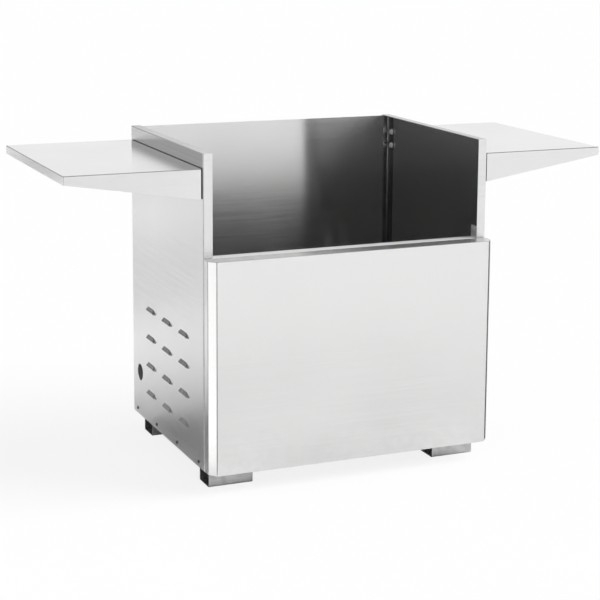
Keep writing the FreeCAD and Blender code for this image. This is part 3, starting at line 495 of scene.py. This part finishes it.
padLook = {"dark": 0.025, "pale": 0.06, "smooth": 0.65, "rough": 0.9,
           "mottleScale": 60.0, "pebbleScale": 900.0, "pebble": 0.3}
cupLook = {"dark": 0.05, "pale": 0.09, "smooth": 0.35, "rough": 0.55,
           "mottleScale": 150.0, "pebbleScale": 1500.0, "pebble": 0.15}
dress(mouldedMaterial("padRubber", padLook), "left_shelf_pad", "right_shelf_pad")
dress(mouldedMaterial("magnetPlastic", cupLook), "door_magnets")
print("pads and magnet cups dressed")


# stage: white ground that keeps a soft shadow, and cards that only the steel reflects

def newPlane(name, width, height, matrix, taper=1.0):
    x, y = width / 2, height / 2
    mesh = bpy.data.meshes.new(name)
    mesh.from_pydata([(-x * taper, -y, 0), (x * taper, -y, 0), (x, y, 0), (-x, y, 0)], [], [(0, 1, 2, 3)])
    plane = bpy.data.objects.new(name, mesh)
    plane.matrix_world = matrix
    scene.collection.objects.link(plane)
    return plane


# one level for what the camera sees, one for what gloss mirrors and one for all other light

def byRay(tree, seen, mirrored, other):
    path = addNode(tree, "ShaderNodeLightPath").outputs
    inGloss = calc(tree, "MAXIMUM", path["Is Glossy Ray"], path["Is Transmission Ray"])
    inOther = calc(tree, "SUBTRACT", calc(tree, "SUBTRACT", 1.0, path["Is Camera Ray"]), inGloss)
    level = calc(tree, "MULTIPLY", path["Is Camera Ray"], seen)
    level = calc(tree, "MULTIPLY_ADD", inGloss, mirrored, level)
    return calc(tree, "MULTIPLY_ADD", inOther, other, level)


floorLook = {
    "size": 60.0, "drop": 0.0006, "dark": 0.91, "pale": 0.93, "mottleScale": 2.0, "mottleDetail": 3.0,
    "roughness": 0.9, "specular": 0.1, "liftSeen": 0.85, "liftMirrored": 0.0,
}
floor = newPlane("studioFloor", floorLook["size"], floorLook["size"],
                 Matrix.Translation((0, 0, -floorLook["drop"])))
floorMaterial, floorTree, floorShader = newMaterial("studioFloorPaint")
floorMottle = noise(floorTree, objectPlace(floorTree), floorLook["mottleScale"], floorLook["mottleDetail"])
plug(floorTree, floorShader.inputs["Base Color"],
     mixColors(floorTree, "MIX", floorMottle, gray(floorLook["dark"]), gray(floorLook["pale"])))
floorShader.inputs["Roughness"].default_value = floorLook["roughness"]
floorShader.inputs["Specular IOR Level"].default_value = floorLook["specular"]
whiteGlow = addNode(floorTree, "ShaderNodeEmission", {"Color": gray(1.0), "Strength": 1.0})
liftedFloor = addNode(floorTree, "ShaderNodeMixShader",
                      {0: byRay(floorTree, floorLook["liftSeen"], floorLook["liftMirrored"], 0.0)})
plug(floorTree, liftedFloor.inputs[1], floorShader.outputs[0])
plug(floorTree, liftedFloor.inputs[2], whiteGlow.outputs[0])
plug(floorTree, floorTree.nodes["Material Output"].inputs["Surface"], liftedFloor.outputs[0])
floor.data.materials.append(floorMaterial)

# in the steel: white round the horizon, a dim band above it and a paler ceiling; an even level for the rest

worldLook = {"white": 1.0, "ambient": 0.45, "band": 0.13, "bandFrom": 14.0, "bandTo": 34.0,
             "ceiling": 0.5, "ceilingFrom": 46.0, "ceilingTo": 60.0}
world = bpy.data.worlds.new("studioWorld")
world.use_nodes = True
scene.world = world
skyTree = world.node_tree
sky = skyTree.nodes["Background"]
rise = splitVector(skyTree, addNode(skyTree, "ShaderNodeTexCoord").outputs["Generated"])[2]
bandFrom, bandTo, ceilingFrom, ceilingTo = (
    math.sin(math.radians(worldLook[angle])) for angle in ("bandFrom", "bandTo", "ceilingFrom", "ceilingTo"))
bandFade = fade(skyTree, rise, bandFrom, bandTo, worldLook["white"], worldLook["band"])
ceilingFade = fade(skyTree, rise, ceilingFrom, ceilingTo, 0.0, worldLook["ceiling"] - worldLook["band"])
mirroredSky = calc(skyTree, "ADD", bandFade, ceilingFade)
plug(skyTree, sky.inputs["Strength"], byRay(skyTree, worldLook["white"], mirroredSky, worldLook["ambient"]))
sky.inputs["Color"].default_value = gray(1.0)

# cards that glow only in the steel's reflections: two stand, and sheets and wedges lie on the floor round the
# pedestal; the dim sheets and wedges are painted floor shadow, the two brightest sheets painted pools of
# light

clothForm = {"scale": 3.0, "detail": 2.0, "from": 0.3, "to": 0.7, "dim": 0.9, "bright": 1.1}


def glowCard(name, look, turn, taper):
    card = newPlane(name, *look["size"], Matrix.Translation(look["center"]) @ turn, taper)
    material = newMaterial(name + "Cloth")[0]
    tree = material.node_tree
    cloth = noise(tree, objectPlace(tree), clothForm["scale"], clothForm["detail"])
    level = fade(tree, cloth, clothForm["from"], clothForm["to"],
                 look["level"] * clothForm["dim"], look["level"] * clothForm["bright"])
    glow = addNode(tree, "ShaderNodeEmission", {"Color": grayFrom(tree, level)})
    plug(tree, tree.nodes["Material Output"].inputs["Surface"], glow.outputs[0])
    card.data.materials.append(material)
    card.visible_camera = False
    card.visible_diffuse = False
    card.visible_shadow = False


standingCards = {
    "cameraSideCard": {"center": (-2.1, -4.6, 1.8), "target": (0.0, 0.0, 1.8),
                       "size": (2.4, 3.6), "level": 0.03},
    "rearLeftCard": {"center": (-2.5, 5.6, 2.4), "target": (-0.4, 0.0, 0.6),
                     "size": (5.0, 4.6), "level": 0.42},
}
for name, look in standingCards.items():
    aim = Vector(look["target"]) - Vector(look["center"])
    glowCard(name, look, aim.to_track_quat("Z", "Y").to_matrix().to_4x4(), 1.0)

wedgeTaper = 0.025
lyingSheets = {
    "leftSheet": {"center": (-2.3, -0.65, 0.01), "size": (3.4, 1.3), "level": 1.3},
    "leftWedge": {"center": (-2.1, 0.876, 0.02), "size": (3.73, 3.9), "level": 0.03, "spin": 55.0},
    "frontWedge": {"center": (-1.72, -1.905, 0.02), "size": (4.62, 3.9), "level": 0.12, "spin": 140.0},
    "frontSheet": {"center": (0.35, -1.0, 0.01), "size": (2.2, 1.3), "level": 0.82},
    # a dark sheet hard by the left side: painted floor shadow, seen only in the steel
    "nearSheet": {"center": (-0.62, 0.12, 0.015), "size": (0.3, 0.45), "level": 0.2},
    "shelfSheet": {"center": (0.5, -4.9, 0.01), "size": (1.0, 1.2), "level": 0.72},
    "midSheet": {"center": (-1.5, 2.5, 0.01), "size": (1.8, 1.6), "level": 0.72},
    "rearSheet": {"center": (-2.1, 4.05, 0.01), "size": (2.2, 1.3), "level": 1.2},
    "tipSheet": {"center": (-2.3, 5.25, 0.02), "size": (3.0, 1.1), "level": 0.45},
    "rightWedge": {"center": (1.99, 0.998, 0.02), "size": (2.91, 3.9), "level": 0.05, "spin": -50.0},
}
for name, look in lyingSheets.items():
    spin = math.radians(look.get("spin", 0.0))
    glowCard(name, look, Matrix.Rotation(spin, 4, "Z"), wedgeTaper if "spin" in look else 1.0)

# one wide, far lamp from the front right lays the soft shadow

keyLook = {"toward": (-0.85, 0.35, -0.68), "spread": 40.0, "level": 3.2}
keyLight = bpy.data.lights.new("keyLamp", "SUN")
keyLight.angle = math.radians(keyLook["spread"])
keyLight.energy = keyLook["level"]
keyLamp = bpy.data.objects.new("keyLamp", keyLight)
keyLamp.matrix_world = (-Vector(keyLook["toward"])).to_track_quat("Z", "Y").to_matrix().to_4x4()
keyLamp.visible_glossy = False
scene.collection.objects.link(keyLamp)
print("stage and lights set")

# camera: fitted to the pedestal's corners

cameraLook = {"azimuth": -23.66, "elevation": 9.69, "roll": 0.48, "distance": 4.757,
              "target": (0.0128, -0.0556, 0.7260), "sensor": 36.0, "lens": 100.87,
              "shift": (-0.0333, -0.1667)}
turn, tilt, roll = (math.radians(cameraLook[angle]) for angle in ("azimuth", "elevation", "roll"))
back = Vector((math.sin(turn) * math.cos(tilt), -math.cos(turn) * math.cos(tilt), math.sin(tilt)))
right = Vector((math.cos(turn), math.sin(turn), 0.0))
up = back.cross(right)
rolledRight = right * math.cos(roll) + up * math.sin(roll)
rolledUp = up * math.cos(roll) - right * math.sin(roll)
stand = Vector(cameraLook["target"]) + back * cameraLook["distance"]
cameraData = bpy.data.cameras.new("photoCamera")
cameraData.sensor_width = cameraLook["sensor"]
cameraData.lens = cameraLook["lens"]
cameraData.shift_x, cameraData.shift_y = cameraLook["shift"]
camera = bpy.data.objects.new("photoCamera", cameraData)
camera.matrix_world = Matrix.Translation(stand) @ Matrix((rolledRight, rolledUp, back)).transposed().to_4x4()
scene.collection.objects.link(camera)
scene.camera = camera
print("camera set")
